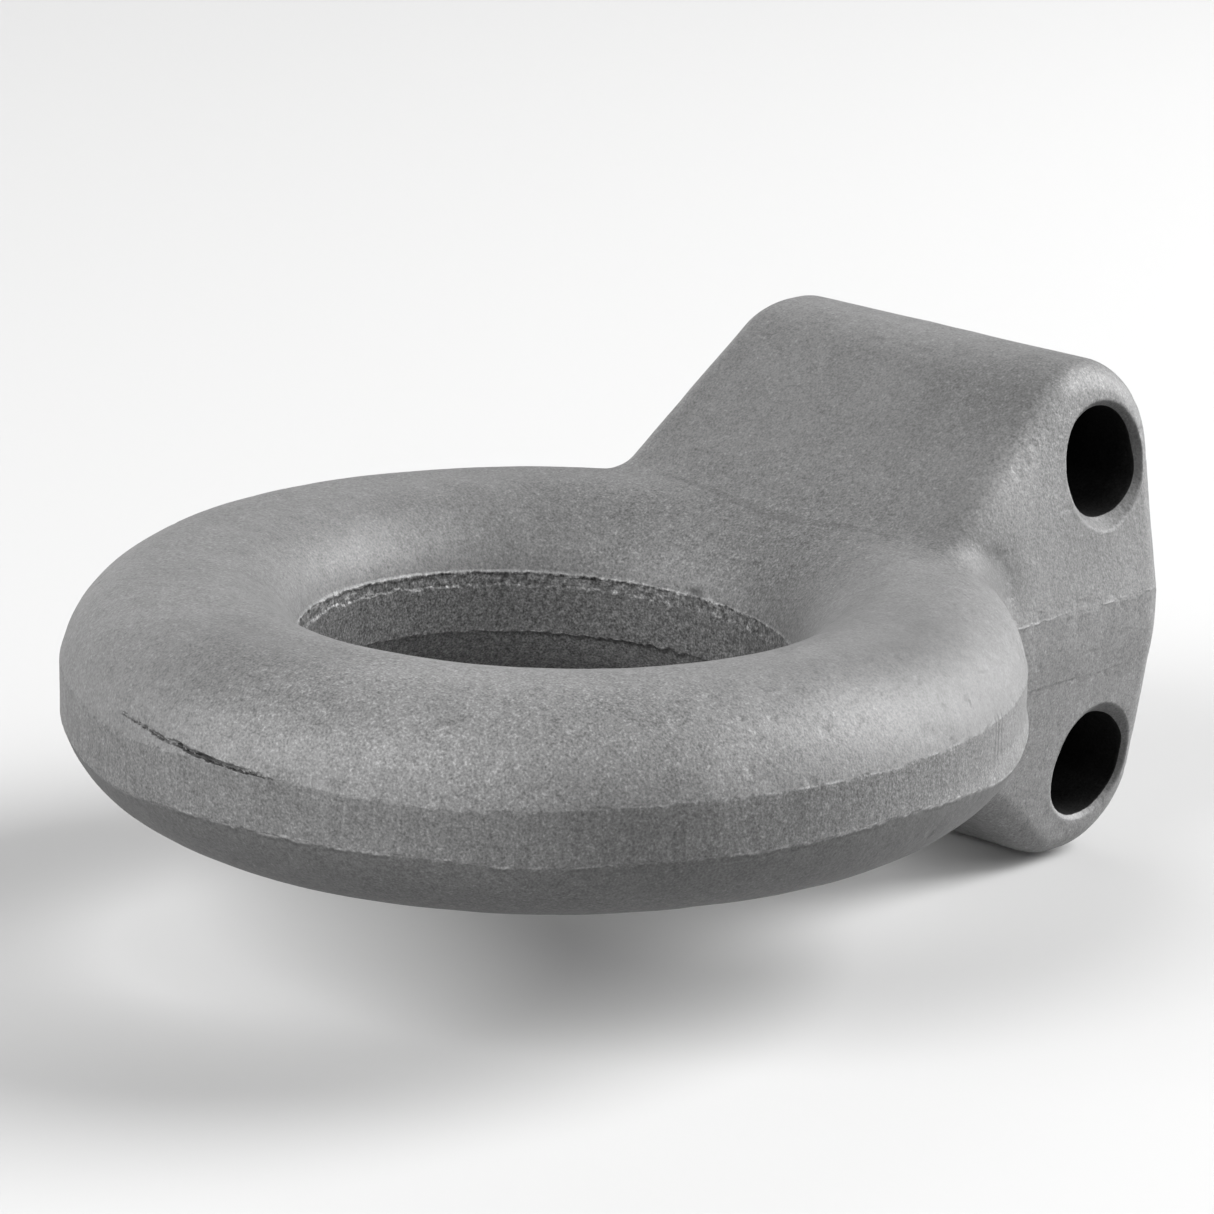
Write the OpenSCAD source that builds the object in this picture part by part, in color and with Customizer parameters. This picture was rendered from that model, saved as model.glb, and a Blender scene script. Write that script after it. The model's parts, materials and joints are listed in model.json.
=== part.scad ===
// Bolt-on tow eye: one drop forging. A round eye ring runs into a wedge-shaped lug with two
// cross-drilled bolt holes. The origin is the centre of the eye on the parting plane (z = 0),
// +Z runs along the eye's axis, +Y points from the eye to the lug, the bolt holes lie along X.

/* [Eye ring] */
// Diameter of the trimmed eye bore
eye_d = 76.2; // [70:0.1:82]
// Outside diameter over the trimmed band
ring_d = 149.2; // [144:0.1:150]
// Diameter of the circle through the middle of the ring's section
pitch_d = 112.5; // [110:0.1:114]
// Height of the ring's section
bar_h = 34.4; // [33:0.1:38]
// Width of the flat crown between the section's two round sides
crown_w = 3.4; // [2:0.1:5]

/* [Lug] */
// Width of the lug at the parting plane
lug_w = 81; // [76:0.5:90]
// Height of the lug
lug_h = 83; // [78:0.5:92]
// Distance from the eye's centre to the back face
lug_back = 102.2; // [100:0.1:108]
// Distance from the eye's centre to the front edge of the lug's top
lug_front = 80; // [76:0.5:82]
// Angle of the sloping front faces above and below the ring, from horizontal
slope = 40; // [36:0.5:44]
// Forging draft of the side faces
draft = 9.3; // [5:0.1:10]
// Radius of the corners between top and back
back_r = 14.5; // [10:0.5:16]
// Radius of the corners between top and slope
front_r = 4; // [2:0.5:6]
// Radius along the edges of the side faces
edge_r = 4.5; // [2:0.5:6]

/* [Bolt holes] */
// Diameter of the bolt holes, clearance for a 5/8 in bolt
bolt_d = 17.5; // [16:0.1:20]
// Distance between the bolt holes
bolt_gap = 50.8; // [46:0.1:52]
// Distance from the eye's centre to the bolt holes
bolt_y = 88.6; // [86:0.1:90]
// Width of the broken edge round each hole
bolt_chamfer = 1.4; // [0.5:0.1:2]

/* [Hidden] */
$fn = 96;
cut = 1; // how far cutting shapes run past what they cut
bar_r = bar_h / 2;
root_y = 44;                       // where the lug's block ends, inside the ring
top_z = lug_h / 2;
side_top = lug_w / 2 - top_z * tan(draft);
front_t = front_r * tan(slope / 2);
side_t = edge_r * tan((90 - draft) / 2);
root_z = top_z - (lug_front - root_y) * tan(slope);
hole_x = lug_w / 2 - bolt_gap / 2 * tan(draft);
mouth = 3 * bolt_chamfer;          // length of the cone that breaks a hole's edge
steel = [0.52, 0.52, 0.52];

// Half section of the ring: two round sides joined by a flat crown, trimmed at bore and band
module ring_section() {
    intersection() {
        union() {
            for (side = [-1, 1]) translate([pitch_d / 2 + side * crown_w / 2, 0]) circle(bar_r);
            translate([(pitch_d - crown_w) / 2, -bar_r]) square([crown_w, bar_h]);
        }
        translate([eye_d / 2, -bar_h]) square([(ring_d - eye_d) / 2, 2 * bar_h]);
    }
}

module ring() {
    rotate_extrude($fn = 180) ring_section();
}

// Side view of the lug's upper half (y across, z up), both top corners rounded
module side_view() {
    polygon([[root_y, -cut], [root_y, root_z],
             [lug_front - front_t * cos(slope), top_z - front_t * sin(slope)],
             [lug_front + front_t, top_z],
             [lug_back - back_r, top_z], [lug_back, top_z - back_r], [lug_back, -cut]]);
    translate([lug_front + front_t, top_z - front_r]) circle(front_r);
    translate([lug_back - back_r, top_z - back_r]) circle(back_r);
}

// View of the lug's upper half along y (x across, z up), drafted and rounded at the top
module end_view() {
    polygon([[-lug_w / 2, 0], [-side_top - side_t * sin(draft), top_z - side_t * cos(draft)],
             [-side_top + side_t, top_z], [side_top - side_t, top_z],
             [side_top + side_t * sin(draft), top_z - side_t * cos(draft)], [lug_w / 2, 0]]);
    for (side = [-1, 1]) translate([side * (side_top - side_t), top_z - edge_r]) circle(edge_r);
}

// What rounding the upright edge between a side face and the back face removes
module back_edge_waste() {
    translate([lug_w / 2, lug_back, 0]) rotate([0, -draft, 0])
        translate([-edge_r, -edge_r, -edge_r]) difference() {
            cube([edge_r + cut, edge_r + cut, lug_h]);
            translate([0, 0, -cut]) cylinder(r = edge_r, h = lug_h + 2 * cut);
        }
}

// Upper half of the lug: a side view and a drafted end view crossed, with rounded back edges
module half_lug() {
    difference() {
        intersection() {
            rotate([90, 0, 90]) linear_extrude(lug_w + 2 * cut, center = true) side_view();
            translate([0, lug_back + cut, 0]) rotate([90, 0, 0]) linear_extrude(lug_back) end_view();
        }
        for (side = [0, 1]) mirror([side, 0, 0]) back_edge_waste();
    }
}

// The whole lug: two mirrored halves that meet at the parting plane
module lug() {
    for (half = [0, 1]) mirror([0, 0, half]) half_lug();
}

module bolt_hole() {
    rotate([0, 90, 0]) cylinder(d = bolt_d, h = lug_w + 2 * cut, center = true);
    for (side = [0, 1]) mirror([side, 0, 0])
        translate([hole_x - bolt_chamfer, 0, 0]) rotate([0, 90, 0])
            cylinder(d1 = bolt_d, d2 = bolt_d + 2 * mouth, h = mouth);
}

module forged_eye() {
    color(steel) difference() {
        union() {
            ring();
            lug();
        }
        for (side = [-1, 1]) translate([0, bolt_y, side * bolt_gap / 2]) bolt_hole();
    }
}

forged_eye();
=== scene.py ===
"""The look of the bolt-on tow eye: its forged surface, its shot-blasted skin and a plain studio.

The forging is one signed distance field, in millimetres and in the part's own frame. A level-set
mesh of it replaces the plain CAD solid, with the fillets, trimmed flash and flaws of a real forging.
"""

import functools
import json
import math
from types import SimpleNamespace

import bpy
import numpy as np
import openvdb
from mathutils import Matrix, Vector


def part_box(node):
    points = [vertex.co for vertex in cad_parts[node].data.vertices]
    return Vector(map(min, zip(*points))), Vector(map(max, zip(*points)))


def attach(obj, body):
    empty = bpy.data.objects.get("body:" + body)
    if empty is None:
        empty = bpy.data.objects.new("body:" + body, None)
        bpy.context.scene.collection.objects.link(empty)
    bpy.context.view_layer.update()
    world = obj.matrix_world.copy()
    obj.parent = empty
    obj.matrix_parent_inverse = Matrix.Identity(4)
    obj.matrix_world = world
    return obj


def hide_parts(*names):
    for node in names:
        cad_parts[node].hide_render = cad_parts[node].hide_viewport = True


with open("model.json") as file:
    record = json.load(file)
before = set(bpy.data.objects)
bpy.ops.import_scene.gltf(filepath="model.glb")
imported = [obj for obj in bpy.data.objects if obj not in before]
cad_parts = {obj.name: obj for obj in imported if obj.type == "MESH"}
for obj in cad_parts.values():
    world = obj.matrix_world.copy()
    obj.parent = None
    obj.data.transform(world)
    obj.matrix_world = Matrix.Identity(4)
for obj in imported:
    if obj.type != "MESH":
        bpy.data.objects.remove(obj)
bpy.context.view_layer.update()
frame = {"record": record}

MM = 0.001
mounts = {m["name"]: m for m in frame["record"]["mounts"]}
low, high = (Vector(corner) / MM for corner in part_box("forged_eye"))

# Driving sizes, from the frame
EYE_R = mounts["eye_bore"]["dims"]["r_mm"]
BOLT_R = mounts["upper_bolt_hole"]["dims"]["r_mm"]
BOLT_Y, BOLT_Z = (v / MM for v in mounts["upper_bolt_hole"]["pos_m"][1:])
RING_R = high.x
LUG_BACK = high.y
LUG_TOP = high.z

# Ring section: two round sides and a narrow flat crown
BAR_R = 17.2
PITCH_R = 56.25
CROWN = 3.4
# Trimmed flash: a band round the ring, which on the right is trimmed deeper and has a cleaner edge
BAND_SPARE = 0.12
BAND_LEDGE = 0.05
BAND_RAGGED = 0.15
RIGHT_TRIM = 0.6
RIGHT_MIDDLE, RIGHT_WIDTH = 48, 42
# Land round the eye: its upper edge is torn back by a depth over a height, and carries a burr
LAND_HALF = 5.0
LAND_TILT = 1.85
LAND_LEDGE = 0.5
TORN_DEPTH = 0.22
TORN_HEIGHT = 2.1
BURR = 0.24
# Where the land's lower edge is torn off: middle and width, in degrees
TORN_MIDDLE, TORN_WIDTH = 112, 26
# Trimmed ridge of the lug's side faces: height of its upper edge, depth of its lower edge, amount cut off
LUG_BAND_TOP = 3.5
LUG_BAND_LOW = 8.3
LUG_TRIM = 0.5
LUG_STEP = 0.07
# Lug
LUG_SIDE = 40.5
DRAFT = math.radians(9.5)
SLOPE = math.radians(40)
SLOPE_Y = 80.0
BACK_ROUND = 14.5
FRONT_ROUND = 4.0
EDGE_ROUND = 4.8
ROOT_Y = 44
ROOT_FILLET = 2.4
SHOULDER_FILLET = 1.6
# Bolt holes: the broken edge at a mouth is wider above and below the bore, and widest toward the middle
MOUTH_FRONT = 0.6
MOUTH_BACK = 1.2
MOUTH_AWAY = 1.2
MOUTH_TOWARD = 2.2
# How far from a bore its mouth's edge may reach, which is where the mesh stays fine
MOUTH_MOST = 3.0
# How much deeper than wide the broken edge runs at the upper back of the upper and the lower holes
UPPER_DEEPER, LOWER_DEEPER = 0.45, 0.1
# Inward shift that keeps the uneven skin inside the CAD box
SKIN_SPARE = 0.17
# Crack above the outer band: angles of its ends, in degrees, heights there, greatest width and depth,
# and how steeply it dives as it goes in
CRACK_FROM, CRACK_TO = -101, -76
CRACK_HEIGHT = 5.75
CRACK_FALL = 1.95
CRACK_WIDTH = 0.5
CRACK_DEPTH = 1.6
CRACK_DIVE = 0.5
# Mesh: grid cells are finest across the parting plane, where the trimmed edges run
CELL = 0.5
FINE_CELL = 0.25
TALL_CELL = 0.65
FINE_TO = 10
BLOCK = 8
MOST_FACES = 196_000
# A face counts as folded when its corners' three normals add up to less than this along its own
LEAST_FACING = 0.6
UNFOLD_ROUNDS = 6


def round_cut(a, b, r):
    """Where both fields are inside, with the edge between them rounded."""
    u, v = np.maximum(a + r, 0), np.maximum(b + r, 0)
    return np.minimum(np.maximum(a, b), -r) + np.sqrt(u * u + v * v)


def round_join(a, b, r):
    """Where either field is inside, with a fillet between them."""
    u, v = np.maximum(r - a, 0), np.maximum(r - b, 0)
    return np.maximum(np.minimum(a, b), r) - np.sqrt(u * u + v * v)


def soften(a, b, k):
    """Where both fields are inside, for surfaces that meet at a shallow angle."""
    near = np.maximum(k - np.abs(a - b), 0)
    return np.maximum(a, b) + near * near / (4 * k)


def ease(v, start, end):
    """Smooth step from 0 at start to 1 at end."""
    t = np.clip((v - start) / (end - start), 0, 1)
    return t * t * (3 - 2 * t)


def sway(angle, level, *bumps):
    """A level that rises by each bump's height round its centre. Angles and widths are in degrees."""
    total = np.full(np.shape(angle), float(level))
    for centre, width, height in bumps:
        off = (angle - centre + 180) % 360 - 180
        total += height * np.exp(-((off / width) ** 2))
    return total


def lattice_noise(x, y, z, cell, seed):
    """Smooth seeded noise from -1 to 1 with features about a cell across."""
    size = 32
    table = np.random.default_rng(seed).uniform(-1, 1, (size, size, size)).astype(np.float32)
    axes = []
    for v in (x, y, z):
        v = np.asarray(v, float) / cell
        whole = np.floor(v).astype(np.int32)
        part = v - whole
        part = part * part * (3 - 2 * part)
        axes.append(((whole % size, 1 - part), ((whole + 1) % size, part)))
    total = 0
    for ix, wx in axes[0]:
        for iy, wy in axes[1]:
            for iz, wz in axes[2]:
                total = total + table[ix, iy, iz] * (wx * wy * wz)
    return total


def angle_of(x, y):
    """Angle round the eye's axis, in degrees."""
    return np.degrees(np.arctan2(y, x))


def band_top(angle):
    """Height of the outer band's upper edge above the parting plane, round the ring."""
    left = (-103, 9, -1.3), (150, 25, -0.6), (-160, 20, 0.4)
    return sway(angle, 3.8, (-54, 14, -1.1), (-82, 6, 0.6), *left)


def band_low(angle):
    """Depth of the outer band's lower edge below the parting plane, round the ring."""
    return sway(angle, 4.7, (-103, 12, 1.3), (-45, 8, 0.6), (0, 13, -0.8), (25, 12, 1.5), (165, 20, 0.7))


def land_shift(angle):
    """How far the trimmed land round the eye sits above the parting plane."""
    return -LAND_TILT * np.sin(np.radians(angle + 45))


def hump(angle, middle, width):
    """1 at the middle, falling to 0 on both sides. Angles in degrees."""
    return np.exp(-(((angle - middle) / width) ** 2))


def land_edges(x, y, z, angle):
    """Half heights of the land to its torn upper and lower edges, and the noise that tears them."""
    ragged = lattice_noise(x, y, 0 * z, 1.6, 13) + 0.5 * lattice_noise(x, y, 0 * z, 0.6, 14)
    lower = 0.15 + 0.6 * hump(angle, TORN_MIDDLE, TORN_WIDTH)
    return LAND_HALF - TORN_HEIGHT + 0.35 * ragged, LAND_HALF + lower * ragged, ragged


def bar_swell(reach, edge, ledge, away, side):
    """What to add to BAR_R so that the bar meets a trimmed edge a ledge short of it. 0 further away."""
    swell = np.hypot(reach - ledge, edge) - BAR_R
    return swell * side * np.exp(-((np.maximum(away - edge, 0) / 6) ** 2))


def crack_line(angle):
    """Height of the crack above the parting plane, and how far open it is, from below 0 to 1."""
    along = (angle - CRACK_FROM) / (CRACK_TO - CRACK_FROM)
    flat = 0 * angle
    wander = 0.16 * lattice_noise(angle, flat, flat, 3, 21)
    wander = wander + 0.04 * lattice_noise(angle, flat, flat, 1.2, 22)
    height = CRACK_HEIGHT - CRACK_FALL * along + wander
    wide = np.where(along < 0.6, ease(along, -0.1, 0.6), 1 - ease(along, 0.6, 1.15))
    inside = np.minimum(along, 1 - along) * 12
    return height, np.minimum(0.15 + 0.85 * wide, np.clip(inside, -1, 1))


def crack_field(x, y, z, skin):
    """Positive inside the crack, an open lap that dives from the ring's skin."""
    height, open_by = crack_line(angle_of(x, y))
    depth = np.maximum(-skin, -1)
    half = CRACK_WIDTH / 2 * (open_by - np.abs(open_by) * depth / CRACK_DEPTH)
    within = half - np.abs(z - height + CRACK_DIVE * depth)
    return np.where((y < 0) & (np.hypot(x, y) > PITCH_R), within, -1)


def ring_field(x, y, z, fine):
    """The ring: a round bar with the stubs of its trimmed flash inside the eye and round the outside."""
    rho = np.hypot(x, y)
    angle = angle_of(x, y)
    inner = 1 - ease(rho, EYE_R, PITCH_R)
    outer = ease(rho, PITCH_R, RING_R)
    top, low_edge = band_top(angle), band_low(angle)
    lift = z - land_shift(angle) * inner
    upper = z > 0
    edge = np.where(upper, top, low_edge)
    right = hump(angle, RIGHT_MIDDLE, RIGHT_WIDTH)
    deeper = RIGHT_TRIM * right * ease(z, -6, -2)
    band_r = RING_R - BAND_SPARE - deeper
    band_reach = band_r - PITCH_R - CROWN / 2
    land_reach = PITCH_R - CROWN / 2 - EYE_R
    rough = ragged = 0
    land_top = LAND_HALF - TORN_HEIGHT
    land_low = LAND_HALF
    if fine:
        rough = lattice_noise(x, y, 1.3 * z, 1.1, 12)
        land_top, land_low, ragged = land_edges(x, y, z, angle)
        band_r = band_r + 0.02 * lattice_noise(angle, 0 * z, z / 8, 1.1, 11)
    radius = BAR_R + bar_swell(band_reach, edge, BAND_LEDGE * (1 - right), np.abs(z), outer)
    land_ledge = np.where(lift > 0, TORN_DEPTH, LAND_LEDGE)
    radius = radius + bar_swell(land_reach, LAND_HALF, land_ledge, np.abs(lift), inner)
    bar = np.hypot(np.maximum(np.abs(rho - PITCH_R) - CROWN / 2, 0), lift) - radius
    # The bar, the band and the land meet in small rounds, down to 0.1 mm
    bar = round_cut(bar, rho - band_r, 0.15)
    bar = round_cut(bar, EYE_R + TORN_DEPTH + 0.16 * rough - rho, 0.1)
    band = np.maximum(rho - band_r, PITCH_R - rho)
    torn = BAND_RAGGED * (1 - right) * ragged
    band = round_cut(band, np.where(upper, z - top - torn, -z - low_edge - torn), 0.12)
    land = np.maximum(EYE_R - rho, rho - PITCH_R)
    land = round_cut(land, np.where(lift > 0, lift - land_top, -lift - land_low), 0.15)
    ring = round_join(round_join(bar, band, 0.1), land, 0.15)
    if fine:
        # The burr is a ragged wire along the torn upper edge of the eye
        lip = np.hypot(rho - EYE_R - TORN_DEPTH + 0.05, lift - LAND_HALF + 0.1 * ragged)
        ring = round_join(ring, lip - BURR * (1 + 0.5 * ragged), 0.3)
    return np.maximum(ring, crack_field(x, y, z, ring))


def lug_side(x, z):
    """Distance past the drafted side faces."""
    return (np.abs(x) - LUG_SIDE) * math.cos(DRAFT) + np.abs(z) * math.sin(DRAFT)


def lug_field(x, y, z, fine):
    """The lug: drafted sides with their ridge trimmed off, sloping fronts and rounded edges."""
    up = np.abs(z)
    side = lug_side(x, z)
    if fine:
        ragged = lattice_noise(x, y, 0 * z, 3, 15) + 0.6 * lattice_noise(x, y, 0 * z, 1, 16)
        edge = LUG_BAND_TOP - 0.35 * ragged
        trimmed = np.abs(x) - LUG_SIDE + LUG_TRIM + 0.04 * ragged
        side = np.where(z > 0, np.maximum(side, trimmed), soften(side, trimmed, 0.45))
        lip = np.exp(-(((z - edge) / 0.17) ** 2)) * np.clip(0.03 + 0.08 * ragged, 0, 0.12)
        low_edge = LUG_BAND_LOW + 0.2 * ragged
        side = side - lip + LUG_STEP * ease(-z, low_edge - 0.15, low_edge + 0.15)
    front = -(y - SLOPE_Y) * math.sin(SLOPE) + (up - LUG_TOP) * math.cos(SLOPE)
    profile = round_cut(y - LUG_BACK, round_cut(front, up - LUG_TOP, FRONT_ROUND), BACK_ROUND)
    lug = round_cut(profile, side, EDGE_ROUND)
    return np.maximum(lug, ROOT_Y - y)


def mouth_width(turn):
    """Width of the broken edge at a mouth. Turn is 0 at the back and 90 away from the parting plane."""
    s = np.sin(np.radians(turn))
    across = MOUTH_FRONT + (MOUTH_BACK - MOUTH_FRONT) * ease(np.cos(np.radians(turn)), -0.7, 0.7)
    return across + (np.where(s > 0, MOUTH_AWAY, MOUTH_TOWARD) - across) * s * s


def hole_field(x, y, z, fine):
    """Positive inside the bolt holes and the broken edges at their mouths."""
    up = np.abs(z) - BOLT_Z
    away = np.hypot(y - BOLT_Y, up)
    turn = np.degrees(np.arctan2(up, y - BOLT_Y))
    mouth_r = BOLT_R + mouth_width(turn)
    bore_r = BOLT_R
    if fine:
        end = np.sign(x) * 7 + 0 * z
        mouth_r = mouth_r + 0.25 * lattice_noise(turn, end, 9 * np.sign(z), 22, 17)
        bore_r = bore_r + 0.12 * lattice_noise(turn, end, 9 * np.sign(z), 34, 18)
    # The broken edge is as deep as it is wide, and deeper at the upper back of a mouth
    back = np.maximum(np.cos(np.radians(turn)), 0) ** 2
    upper = ease(np.sin(np.radians(turn)) * np.sign(z), -0.7, 0.3)
    steep = 1 - np.where(z > 0, UPPER_DEEPER, LOWER_DEEPER) * back * upper
    mouth = (mouth_r + steep * lug_side(x, z) - away) / np.sqrt(1 + steep * steep)
    return np.maximum(bore_r - away, mouth)


def skin_waves(x, y, z):
    """The uneven skin of a forging: slow waves and shallow scale pits."""
    waves = 0.12 * lattice_noise(x, y, z, 14, 1) + 0.05 * lattice_noise(x, y, z, 5, 2)
    pits = 0.12 * ease(lattice_noise(x, y, z, 2.2, 3), 0.45, 0.9)
    return waves + pits + SKIN_SPARE


def forging(x, y, z, fine=True):
    """Signed distance to the forging, in millimetres, negative inside."""
    lug = lug_field(x, y, z, fine)
    ring = ring_field(x, y, z, fine)
    if fine:
        waves = skin_waves(x, y, z)
        lug, ring = lug + waves, ring + waves * ease(np.hypot(x, y), EYE_R + 1, EYE_R + 5)
    shoulder = ease(x, 24, 38) * ease(z, 4, 14)
    body = round_join(ring, lug, ROOT_FILLET + SHOULDER_FILLET * shoulder)
    body = np.maximum(body, EYE_R - np.hypot(x, y))
    return round_cut(body, hole_field(x, y, z, fine), 0.2)


def slopes(x, y, z, step=0.04):
    """Distance and its gradient at points near the surface."""
    here = forging(x, y, z)
    ahead = (forging(x + step, y, z), forging(x, y + step, z), forging(x, y, z + step))
    return here, np.stack([there - here for there in ahead], 1) / step


def even_levels(start, end, cell):
    """Levels a cell apart, from start to at least end."""
    return start + cell * np.arange(math.ceil((end - start) / cell) + 1)


def grid_levels():
    """The grid's levels along each axis, with z fine across the parting plane."""
    spare = 3 * CELL
    x, y = (even_levels(low[i] - spare, high[i] + spare, CELL) for i in (0, 1))
    fine = even_levels(-FINE_TO, FINE_TO, FINE_CELL)
    tall = even_levels(FINE_TO + TALL_CELL, high.z + spare, TALL_CELL)
    return x, y, np.concatenate([-tall[::-1], fine, tall])


def main_shell(points, quads):
    """The largest connected surface, without the specks the grid leaves loose in the crack's thin end."""
    label = np.arange(len(points))
    while True:
        lower = label.copy()
        lowest = label[quads].min(1)
        for corner in range(4):
            np.minimum.at(lower, quads[:, corner], lowest)
        lower = lower[lower]
        if (lower == label).all():
            break
        label = lower
    keep = label == np.bincount(label).argmax()
    return points[keep], (np.cumsum(keep) - 1)[quads[keep[quads[:, 0]]]]


def level_set():
    """Points and quads of the forging's surface on the grid, drawn onto the exact surface."""
    levels = grid_levels()
    shape = [BLOCK * math.ceil(len(v) / BLOCK) for v in levels]
    longer = [v[-1] + TALL_CELL * np.arange(1, n - len(v) + 1) for v, n in zip(levels, shape)]
    levels = [np.append(v, more) for v, more in zip(levels, longer)]
    x, y, z = levels
    # Blocks of cells that the surface may cross
    middles = [v.reshape(-1, BLOCK).mean(1) for v in levels]
    halves = [np.ptp(v.reshape(-1, BLOCK), axis=1) / 2 + CELL for v in levels]
    middle = np.meshgrid(*middles, indexing="ij")
    half = np.meshgrid(*halves, indexing="ij")
    far = forging(*(v.ravel() for v in middle), fine=False).reshape(middle[0].shape)
    near = np.abs(far) < np.sqrt(sum(v * v for v in half)) + 1
    reach = 3.0
    field = np.where(far > 0, reach, -reach).astype(np.float32)
    for axis in range(3):
        field = np.repeat(field, BLOCK, axis)
        near = np.repeat(near, BLOCK, axis)
    ix, iy, iz = np.nonzero(near)
    field[ix, iy, iz] = np.clip(forging(x[ix], y[iy], z[iz], fine=False), -reach, reach)
    grid = openvdb.FloatGrid(reach)
    grid.copyFromArray(field)
    points, quads = main_shell(*grid.convertToQuads(0.0))
    points = np.stack([np.interp(points[:, i], np.arange(len(v)), v) for i, v in enumerate(levels)], 1)
    # The grid holds the plain shape. These steps, 0.4 mm at most, draw its points onto the detailed one
    for _ in range(3):
        d, g = slopes(*points.T)
        points -= np.clip(d / np.maximum((g * g).sum(1), 0.2), -0.4, 0.4)[:, None] * g
    return points, quads


def detail_weight(p):
    """0 where the mesh has to stay fine, 1 where it may be thinned."""
    x, y, z = p.T
    rho = np.hypot(x, y)
    angle = angle_of(x, y)
    outside = rho > RING_R - 0.8
    keep = outside & (np.abs(z - band_top(angle)) < 0.7)
    keep |= outside & (np.abs(z + band_low(angle)) < 0.7)
    keep |= (rho < EYE_R + 0.7) & (np.abs(z - land_shift(angle)) > 1.5)
    height, open_by = crack_line(angle)
    keep |= (np.abs(z - height) < 1.3) & (open_by > -0.5) & (rho > PITCH_R)
    from_bore = np.hypot(y - BOLT_Y, np.abs(z) - BOLT_Z) - BOLT_R
    keep |= (np.abs(lug_side(x, z)) < 2.6) & (from_bore < MOUTH_MOST)
    return np.where(keep, 0.0, 1.0)


def unfold(mesh, p, normals):
    """Move the points of any face that leans away from the surface to the middle of their neighbours."""
    mesh.calc_loop_triangles()
    faces = np.empty(3 * len(mesh.loop_triangles), np.int32)
    edges = np.empty(2 * len(mesh.edges), np.int32)
    mesh.loop_triangles.foreach_get("vertices", faces)
    mesh.edges.foreach_get("vertices", edges)
    faces, edges = faces.reshape(-1, 3), edges.reshape(-1, 2)
    for _ in range(UNFOLD_ROUNDS):
        a, b, c = (p[faces[:, i]] for i in range(3))
        across = np.cross(b - a, c - a)
        facing = (across * normals[faces].sum(1)).sum(1)
        folded = np.unique(faces[facing < LEAST_FACING * np.linalg.norm(across, axis=1)])
        total, count = np.zeros_like(p), np.zeros(len(p))
        for one, other in ((0, 1), (1, 0)):
            np.add.at(total, edges[:, one], p[edges[:, other]])
            np.add.at(count, edges[:, one], 1)
        p[folded] = (total[folded] / count[folded, None] + p[folded]) / 2
    return p


def build_forging():
    """The forging's mesh: the level set, thinned where it is smooth, with the exact surface's normals."""
    points, quads = level_set()
    mesh = bpy.data.meshes.new("forged_eye_surface")
    mesh.vertices.add(len(points))
    mesh.vertices.foreach_set("co", (points * MM).astype(np.float32).ravel())
    mesh.loops.add(quads.size)
    mesh.loops.foreach_set("vertex_index", quads.astype(np.int32).ravel())
    mesh.polygons.add(len(quads))
    mesh.polygons.foreach_set("loop_start", np.arange(0, quads.size, 4, dtype=np.int32))
    mesh.update(calc_edges=True)
    mesh.validate()
    piece = bpy.data.objects.new("forged_eye_surface", mesh)
    bpy.context.scene.collection.objects.link(piece)
    faces = 2 * len(quads)
    if faces > MOST_FACES:
        thin = piece.vertex_groups.new(name="thin")
        free = np.nonzero(detail_weight(points) > 0)[0]
        thin.add([int(v) for v in free], 1.0, "REPLACE")
        lean = piece.modifiers.new("lean", "DECIMATE")
        lean.ratio = MOST_FACES / faces
        lean.vertex_group = "thin"
        lean.vertex_group_factor = 1.0
        deps = bpy.context.evaluated_depsgraph_get()
        final = bpy.data.meshes.new_from_object(piece.evaluated_get(deps))
        piece.modifiers.clear()
        piece.vertex_groups.clear()
        piece.data = final
        mesh = final
    co = np.empty(len(mesh.vertices) * 3, np.float32)
    mesh.vertices.foreach_get("co", co)
    p = co.reshape(-1, 3).astype(float) / MM
    d, g = slopes(*p.T)
    normals = g / np.linalg.norm(g, axis=1, keepdims=True)
    p -= np.clip(d, -0.1, 0.1)[:, None] * normals
    p = unfold(mesh, p, normals)
    mesh.vertices.foreach_set("co", (p * MM).astype(np.float32).ravel())
    mesh.shade_smooth()
    mesh.normals_split_custom_set_from_vertices(normals)
    mesh.update()
    return piece


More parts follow.
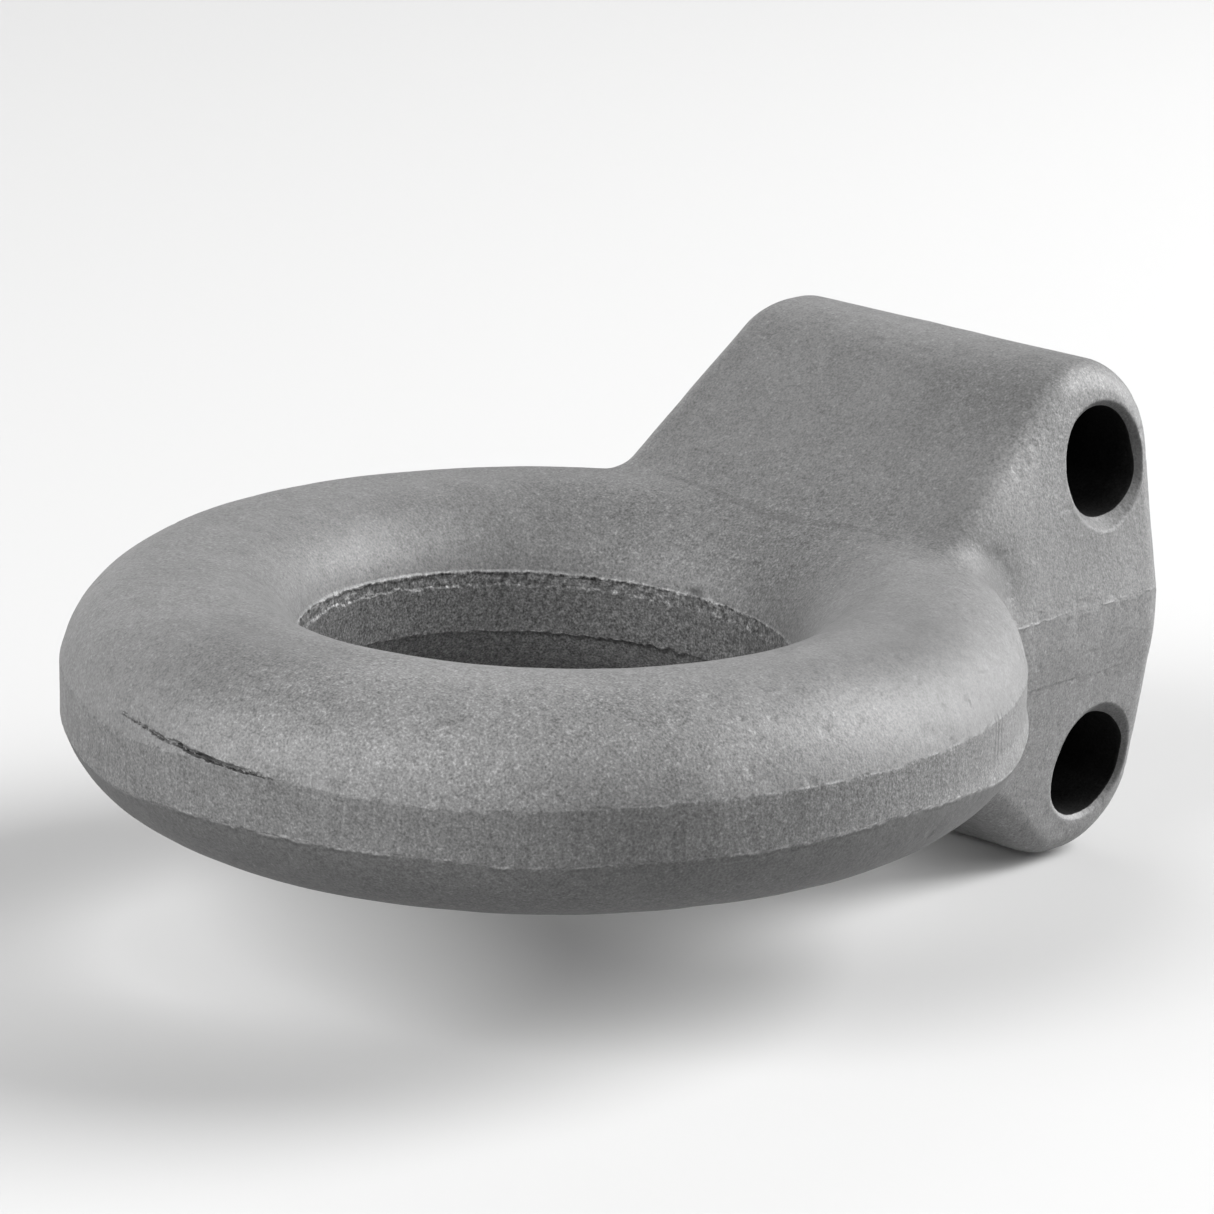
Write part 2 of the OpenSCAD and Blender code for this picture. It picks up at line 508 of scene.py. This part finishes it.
class Graph:
    """Short names for the shader nodes the skin is built from."""

    def __init__(self, tree):
        self.tree = tree

    def put(self, kind, values, **settings):
        node = self.tree.nodes.new(kind)
        for name, value in settings.items():
            setattr(node, name, value)
        for socket, value in values.items():
            if isinstance(value, bpy.types.NodeSocket):
                self.tree.links.new(value, node.inputs[socket])
            else:
                node.inputs[socket].default_value = value
        return node

    def math(self, operation, a, b=0.0):
        return self.put("ShaderNodeMath", {0: a, 1: b}, operation=operation).outputs[0]

    def add(self, a, b):
        return self.math("ADD", a, b)

    def mul(self, a, b):
        return self.math("MULTIPLY", a, b)

    def most(self, a, b):
        return self.math("MAXIMUM", a, b)

    def field(self, name):
        return self.put("ShaderNodeAttribute", {}, attribute_name=name).outputs["Fac"]

    def noise(self, size, detail=2.0, rough=0.5, stretch=None):
        """Noise from about 0 to 1 with features a size across, in millimetres."""
        where = self.put("ShaderNodeTexCoord", {}).outputs["Object"]
        if stretch:
            longer = self.put("ShaderNodeVectorMath", {0: where, 1: stretch}, operation="MULTIPLY")
            where = longer.outputs[0]
        values = {"Vector": where, "Scale": 1 / (size * MM), "Detail": detail, "Roughness": rough}
        return self.put("ShaderNodeTexNoise", values).outputs["Fac"]

    def step(self, value, start, end):
        """Smooth step of a value, from 0 at start to 1 at end."""
        values = {"Value": value, "From Min": start, "From Max": end}
        return self.put("ShaderNodeMapRange", values, interpolation_type="SMOOTHSTEP").outputs["Result"]

    def line(self, value, outer, inner):
        """1 where the value is within inner of 0, and 0 beyond outer."""
        return self.step(self.math("ABSOLUTE", value), outer, inner)

    def both(self, *masks):
        """Where all the masks are 1."""
        return functools.reduce(self.mul, masks)

    def mix(self, factor, a, b):
        return self.add(a, self.mul(factor, self.add(b, self.mul(a, -1.0))))

    def paint(self, tone, *coats):
        """The tone with each coat's factor where its mask is 1."""
        for mask, factor in coats:
            tone = self.mul(tone, self.mix(mask, 1.0, factor))
        return tone


# Skin: base tone of the steel, the fraction of it left in the bores as painted shade, and how it shines
SKIN_TONE = 0.154
BORE_TONE = 0.11
DARKEST = 0.004
ROUGHNESS = 0.6
METALLIC = 0.25
SPECULAR = 0.5
# Painted light and shade, with a few real marks (the scuffs beside the eye and the flaw on the lip):
# centre in mm, radius, and how far each lightens or darkens the skin
STAINS = (
    # Front and left of the ring: painted sheen, and darker patches
    (38, -58, 12, 20, 0.22), (10, -64, 13, 14, 0.12), (-26, -62, 13, 12, 0.1), (2, -60, 17, 7, -0.25),
    (12, -57, 18, 6, -0.23), (-8, -56, 18, 5, -0.19),
    # Right of the ring: painted light and shade, and the light scuffs beside the eye
    (68, -29, 5, 6, 0.2), (62, -42, 0, 12, -0.14), (66, 17, 13, 18, -0.2), (72, 10, 6, 8, -0.1),
    (56, 0, 17, 3, 0.14), (57, 8, 17, 3, 0.14), (56, 16, 17, 3, 0.14),
    # Band and the skin below it: painted shade
    (22, -66, 2, 16, -0.05),
    # Far side of the ring and its foot on the lug: darker patches
    (-36, 18, 14, 13, -0.08), (-33, 31, 15, 12, -0.1), (-20, 34, 13, 12, -0.08), (10, 44, 12, 14, -0.1),
    # Inside the eye, with a short dark flaw on the lip
    (16, 35, 2, 14, -0.2), (-5.1, 37.9, 4.8, 0.7, -0.6), (-4.2, 37.9, 4.8, 0.7, -0.6),
    (-6, 37.9, 4.8, 0.7, -0.5),
    # Shoulder between ring and lug: painted shade over the bright round of its fillet, and a painted
    # highlight along the edge of the slope
    (38, 60, 13, 8, -0.44), (37, 59, 14, 6, -0.2), (38, 68, 24, 10, 0.12),
    # Slope and top of the lug: painted shade
    (31, 77, 37, 8, -0.13), (18, 78, 36, 10, -0.1), (12, 70, 32, 7, -0.06), (26, 84, 41, 8, -0.08),
    # Side face of the lug: painted shade on its upper half and painted light on its lower half
    (39, 86, 20, 19, -0.32), (38, 84, -14, 15, 0.1),
)
# Places where the shot has bitten deeper or less deep: centre, radius and how much coarser the grain is
SHOT_MARKS = (
    (46, -54, 11, 26, 0.4), (14, -63, 14, 16, 0.4), (10, 44, 12, 16, 0.6), (-20, 36, 12, 20, 0.5),
    (60, -34, 12, 18, 0.25), (30, 82, 34, 14, 0.3), (66, 18, 14, 24, -0.45),
)
# Three upright scratches across the band, by the lug: their middle angle and how far each is off it
SCRATCH_ANGLE = 20.7
SCRATCHES = (-1.1, -0.2, 0.9)
# Painted shadow line under the small downward-facing step on the lower half of the lug's side: its depth
# and its ends, as distances from the eye
LAP_DEPTH = 8.2
LAP_FROM, LAP_TO = 37.0, 53.0


def crack_depth(x, y, z):
    """1 on the walls of the crack, 0 on the skin round it."""
    skin = np.hypot(np.maximum(np.abs(np.hypot(x, y) - PITCH_R) - CROWN / 2, 0), z) - BAR_R
    height, open_by = crack_line(angle_of(x, y))
    return ease(-skin, 0.7, 0.9) * ease(-np.abs(z - height), -2.5, -1.5) * (open_by > 0) * (y < 0)


def spots(x, y, z, marks):
    """1, plus each mark's gain round its centre."""
    total = np.ones_like(x)
    for cx, cy, cz, radius, gain in marks:
        total += gain * np.exp(-((x - cx) ** 2 + (y - cy) ** 2 + (z - cz) ** 2) / radius ** 2)
    return total


def write_fields(mesh):
    """Smooth fields over the surface that the skin's material reads: distances in mm unless noted."""
    co = np.empty(len(mesh.vertices) * 3, np.float32)
    mesh.vertices.foreach_get("co", co)
    x, y, z = co.reshape(-1, 3).astype(float).T / MM
    rho, angle = np.hypot(x, y), angle_of(x, y)
    lift = z - land_shift(angle)
    land_top, land_low, _ = land_edges(x, y, z, angle)
    front = -(y - SLOPE_Y) * math.sin(SLOPE) + (np.abs(z) - LUG_TOP) * math.cos(SLOPE)
    up = np.abs(z) - BOLT_Z
    away = np.hypot(y - BOLT_Y, up)
    mouth = BOLT_R + mouth_width(np.degrees(np.arctan2(up, y - BOLT_Y)))
    scratch = np.radians(angle - SCRATCH_ANGLE)
    fields = {
        "height": z,
        # The ring: which side of its foot on the lug, the band, and the tone that the band takes
        "root": lug_field(x, y, z, False) - ring_field(x, y, z, False),
        "outside": rho - RING_R,
        "above_band": z - band_top(angle),
        "below_band": -z - band_low(angle),
        "band_tone": sway(angle, 0.91, (-38, 42, -0.2), (-110, 30, -0.07)),
        # Off the scratches' middle, in degrees, and 1 on their side of the ring
        "scratch_off": np.degrees(np.sin(scratch)),
        "scratch_near": np.cos(scratch),
        # The eye and its land
        "from_eye": rho - EYE_R,
        "above_land": lift - LAND_HALF,
        "above_torn": lift - land_top,
        "below_land": -lift - land_low,
        "torn_off": hump(angle, TORN_MIDDLE, TORN_WIDTH),
        # The lug: its side, its front corner, the bores, their mouths and the shaded side of those
        "side": lug_side(x, z),
        "corner": np.maximum(front, np.abs(z) - LUG_TOP),
        "in_bore": BOLT_R - away,
        "in_mouth": mouth - away,
        "overhead": z - BOLT_Z * np.sign(z) + 0.5 * (y - BOLT_Y),
        # Factors on the tone, painted light and shade with a few real marks, and on the grain, and 1 in
        # the crack, whose walls are painted dark as shade
        "stains": spots(x, y, z, STAINS),
        "shot": spots(x, y, z, SHOT_MARKS),
        # Painted shade on the crack's walls
        "crack": crack_depth(x, y, z),
    }
    for name, values in fields.items():
        mesh.attributes.new(name, "FLOAT", "POINT").data.foreach_set("value", values.astype(np.float32))


def skin_areas(g, ragged, blotch):
    """Masks of the skin's parts: 1 on each, 0 off it, with thresholds in mm."""
    on = SimpleNamespace()
    root, height, side, from_eye = (g.field(name) for name in ("root", "height", "side", "from_eye"))
    ring = g.step(root, -0.5, 1.5)
    lug = g.add(1.0, g.mul(ring, -1.0))
    # Painted shade in the crease where the ring meets the lug
    on.crease = g.both(g.line(root, 0.5, 0.1), g.step(height, 9.0, 14.0), g.step(side, -8.0, -16.0))

    # The band, a painted highlight on the burr along its lower edge and a painted shadow line under it,
    # and painted shade on the skin below the band
    out = g.both(ring, g.step(g.field("outside"), -1.6, -0.7))
    above = g.add(g.field("above_band"), g.add(g.mul(ragged, 1.4), g.mul(blotch, 1.5)))
    below = g.add(g.field("below_band"), ragged)
    on.band = g.both(out, g.step(above, 0.12, -0.12), g.step(below, 0.12, -0.12))
    # Painted shade on the ring's underside, below the band
    on.under = g.both(ring, g.step(from_eye, 12.0, 20.0), g.step(below, -0.1, 0.3))
    here = g.step(g.noise(4.0, 1.0), 0.46, 0.56)
    # Painted highlight where the band's burr catches the light, and a painted shadow line just under it
    on.burr = g.both(out, g.line(below, 0.42, 0.15), here)
    on.crevice = g.both(out, g.line(g.add(below, -0.62), 0.35, 0.1), here)
    lines = [g.line(g.add(g.field("scratch_off"), -off), 0.32, 0.1) for off in SCRATCHES]
    scratches = functools.reduce(g.most, lines)
    upright = g.both(g.step(height, -2.5, -1.5), g.step(height, 5.5, 4.0))
    on.scratches = g.both(scratches, upright, out, g.step(g.field("scratch_near"), 0.9, 0.95))

    # The land in the eye, its torn upper edge and seam, with a painted highlight on the burr along it,
    # its lower edge with a painted shadow where it is torn off, and the skin below it in painted shade
    wall = g.step(from_eye, 1.2, 0.8)
    up_land = g.add(g.field("above_land"), g.mul(ragged, 0.5))
    down_land = g.field("below_land")
    on.land = g.both(wall, g.step(up_land, 0.1, -0.1), g.step(down_land, 0.1, -0.1))
    on.torn = g.both(on.land, g.step(g.field("above_torn"), -0.1, 0.1))
    # Painted highlight on the burr along the eye's upper edge
    on.lip = g.both(wall, g.step(up_land, -0.55, -0.1), g.step(up_land, 0.5, 0.1))
    on.seam = g.both(wall, g.line(g.add(g.field("above_torn"), g.mul(ragged, 0.3)), 0.35, 0.1))
    on.land_edge = g.both(wall, g.line(g.add(down_land, 0.15), 0.3, 0.05))
    # Painted shade on the eye's wall below the land
    on.beneath = g.both(g.step(from_eye, 12.0, 5.0), g.step(down_land, -0.1, 0.1))
    # Painted shadow under the land's torn-off lower edge
    on.undercut = g.both(g.field("torn_off"), g.step(down_land, 0.0, 0.15), g.step(down_land, 0.9, 0.5))

    # The lug: bores and the upper parts of their mouths painted dark as shade, edges lightened as wear
    # and painted highlight, and a painted shadow line under the step along its side
    on.bore = g.both(lug, g.step(g.field("in_bore"), -0.24, -0.14))
    shaded = g.step(g.field("overhead"), -3.0, 1.0)
    # Painted shade on the upper part of each mouth's bevel
    on.bevel = g.both(lug, g.step(g.field("in_mouth"), -0.1, 0.15), shaded)
    # Lug edges lightened, partly as wear and partly as a painted highlight along the slope-to-side edge
    on.worn = g.both(lug, g.step(side, -3.2, -0.6), g.step(g.field("corner"), -3.4, -0.8))
    # Painted shadow line under the small step along the lug's side
    lap = g.line(g.add(height, g.add(LAP_DEPTH, ragged)), 0.3, 0.1)
    ends = g.both(g.step(from_eye, LAP_FROM, LAP_FROM + 1), g.step(from_eye, LAP_TO, LAP_TO - 2))
    on.lap = g.both(lug, lap, ends)
    return on


def steel_skin():
    """Shot-blasted steel: sandy grain, mottling and dark sheared strips, with painted glints, highlights
    and shade, and bores painted near-black as shade.
    """
    skin = bpy.data.materials.new("forged_steel_skin")
    skin.use_nodes = True
    g = Graph(skin.node_tree)
    shader = skin.node_tree.nodes["Principled BSDF"]

    fine = g.add(g.noise(0.36, 1.0, 0.5), -0.5)
    coarse = g.add(g.noise(0.95, 2.0, 0.6), -0.5)
    blotch = g.add(g.noise(2.6, 2.0, 0.6), -0.5)
    mottle = g.add(g.noise(8.0, 3.0, 0.6), -0.5)
    ragged = g.mul(g.add(g.noise(1.5, 2.0, 0.6), -0.5), 1.2)
    streaks = g.add(g.noise(0.7, 2.0, 0.6, (1.0, 1.0, 0.1)), -0.5)
    on = skin_areas(g, ragged, blotch)

    # Grain, coarser on the land and the band, painted glints, and mottling
    bite = g.mix(g.most(on.land, on.beneath), g.mix(on.band, g.field("shot"), 1.4), 2.3)
    grain = g.mul(bite, g.add(g.mul(fine, 1.1), g.mul(coarse, 0.62)))
    glints = g.mul(g.step(g.mul(g.add(fine, g.mul(coarse, 0.8)), bite), 0.2, 0.42), 0.22)
    tone = g.add(g.add(1.0, grain), g.add(glints, g.add(g.mul(blotch, 0.32), g.mul(mottle, 0.3))))
    # Painted light and shade, and a few real marks, from the listed patches
    tone = g.mul(g.most(tone, 0.3), g.field("stains"))
    # Painted shade on the underside, below the land, under the torn land edge, in the crease, on the
    # bevels, in the crack and the bores; painted highlights on the burrs, the eye's lip and the lug's
    # edges; painted shadow lines under the band's burr and the lug's side step
    tone = g.paint(
        tone, (on.band, g.field("band_tone")), (on.under, 0.575), (on.land, 0.68),
        (on.torn, g.add(1.1, g.mul(coarse, 1.8))), (on.band, g.add(1.0, g.mul(streaks, 0.5))),
        (on.burr, 1.55), (g.most(on.crevice, on.lap), 0.75), (on.scratches, 0.62),
        (on.land_edge, g.add(1.25, g.mul(coarse, 1.5))), (on.crease, 0.82), (on.beneath, 0.68),
        (on.undercut, 0.35), (on.lip, g.add(1.55, g.mul(coarse, 2.0))),
        (on.seam, g.add(1.12, g.mul(coarse, 2.0))), (on.bevel, 0.6), (on.worn, 1.18),
        (g.field("crack"), 0.3), (on.bore, BORE_TONE),
    )
    value = g.most(g.mul(tone, SKIN_TONE), DARKEST)
    colour = g.put("ShaderNodeCombineColor", {0: value, 1: value, 2: value}).outputs[0]
    relief = g.mul(bite, g.add(g.mul(fine, 0.025), g.mul(coarse, 0.085)))
    bump = g.put("ShaderNodeBump", {"Height": g.mul(relief, MM), "Strength": 1.0, "Distance": 1.0})
    # The bores also lose their specular and metallic shine, as part of their painted shade
    off_bore = g.add(1.0, g.mul(on.bore, -1.0))
    inputs = {
        "Base Color": colour, "Normal": bump.outputs[0],
        "Specular IOR Level": g.mul(off_bore, SPECULAR), "Metallic": g.mul(off_bore, METALLIC),
    }
    for name, output in inputs.items():
        g.tree.links.new(output, shader.inputs[name])
    shader.inputs["Roughness"].default_value = ROUGHNESS
    return skin


# Camera: its angles, and how far it stands from the eye's centre, in mm: back along its line of sight,
# to its right and up
CAMERA_AZ = math.radians(44.83)
CAMERA_EL = math.radians(16.54)
CAMERA_ROLL = math.radians(1.09)
CAMERA_BACK, CAMERA_RIGHT, CAMERA_UP = 759.9, 9.39, 10.31
LENS, SENSOR = 146.479, 36


def add_camera():
    right = Vector((math.cos(CAMERA_AZ), math.sin(CAMERA_AZ), 0))
    flat = Vector((math.sin(CAMERA_AZ), -math.cos(CAMERA_AZ), 0))
    back = math.cos(CAMERA_EL) * flat + Vector((0, 0, math.sin(CAMERA_EL)))
    up = back.cross(right)
    right, up = (math.cos(CAMERA_ROLL) * right + math.sin(CAMERA_ROLL) * up,
                 math.cos(CAMERA_ROLL) * up - math.sin(CAMERA_ROLL) * right)
    data = bpy.data.cameras.new("camera")
    data.sensor_width = SENSOR
    data.lens = LENS
    data.clip_start, data.clip_end = 0.01, 20
    camera = bpy.data.objects.new("camera", data)
    turn = Matrix((right, up, back)).transposed().to_4x4()
    place = back * CAMERA_BACK + right * CAMERA_RIGHT + up * CAMERA_UP
    camera.matrix_world = Matrix.Translation(MM * place) @ turn
    bpy.context.scene.collection.objects.link(camera)
    bpy.context.scene.camera = camera


# Soft lights: turn from the camera to the right, height above the horizon, both in degrees, and power
LIGHTS = (
    ("left_low", -72, 14, 0.28), ("back_left", -150, 15, 0.08), ("right_low", 109, 14, 0.52),
    ("left_front", -45, 38, 0.36), ("right_front", 45, 38, 0.1), ("right_side", 101, 38, 0.56),
    ("back", 180, 38, 0.07),
)
LIGHT_AWAY = 2.0
LIGHT_SIZE = 1.1
LIGHT_POWER = 81.0
# Stage, in metres
FLOOR_SIZE = 12
FLOOR_GAP = 0.0005
FLOOR_TONE = 0.5
SKY_STRENGTH = 0.25


def add_lights():
    """Round soft boxes that face the part, each LIGHT_AWAY metres from it."""
    to_camera = -math.pi / 2 + CAMERA_AZ
    for name, turn, height, power in LIGHTS:
        flat = to_camera + math.radians(turn)
        rise = math.radians(height)
        way = Vector((math.cos(flat) * math.cos(rise), math.sin(flat) * math.cos(rise), math.sin(rise)))
        data = bpy.data.lights.new(name, "AREA")
        data.shape = "DISK"
        data.size = LIGHT_SIZE
        data.energy = power * LIGHT_POWER
        lamp = bpy.data.objects.new(name, data)
        lamp.location = way * LIGHT_AWAY
        lamp.rotation_euler = (-way).to_track_quat("-Z", "Y").to_euler()
        bpy.context.scene.collection.objects.link(lamp)


def add_stage():
    """A pale matt floor just under the part, and an even white sky."""
    bpy.ops.mesh.primitive_plane_add(size=FLOOR_SIZE, location=(0, 0, low.z * MM - FLOOR_GAP))
    floor = bpy.context.object
    floor.name = "floor"
    pale = bpy.data.materials.new("pale_floor")
    pale.use_nodes = True
    matt = pale.node_tree.nodes["Principled BSDF"].inputs
    matt["Base Color"].default_value = (FLOOR_TONE, FLOOR_TONE, FLOOR_TONE, 1)
    matt["Roughness"].default_value = 0.9
    matt["Specular IOR Level"].default_value = 0.0
    floor.data.materials.append(pale)
    world = bpy.data.worlds.new("studio")
    bpy.context.scene.world = world
    world.use_nodes = True
    sky = world.node_tree.nodes["Background"].inputs
    sky["Color"].default_value = (1, 1, 1, 1)
    sky["Strength"].default_value = SKY_STRENGTH


add_camera()
forged = build_forging()
write_fields(forged.data)
forged.data.materials.append(steel_skin())
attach(forged, "root")
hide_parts("forged_eye")
add_lights()
add_stage()
bpy.context.scene.view_settings.view_transform = "Standard"
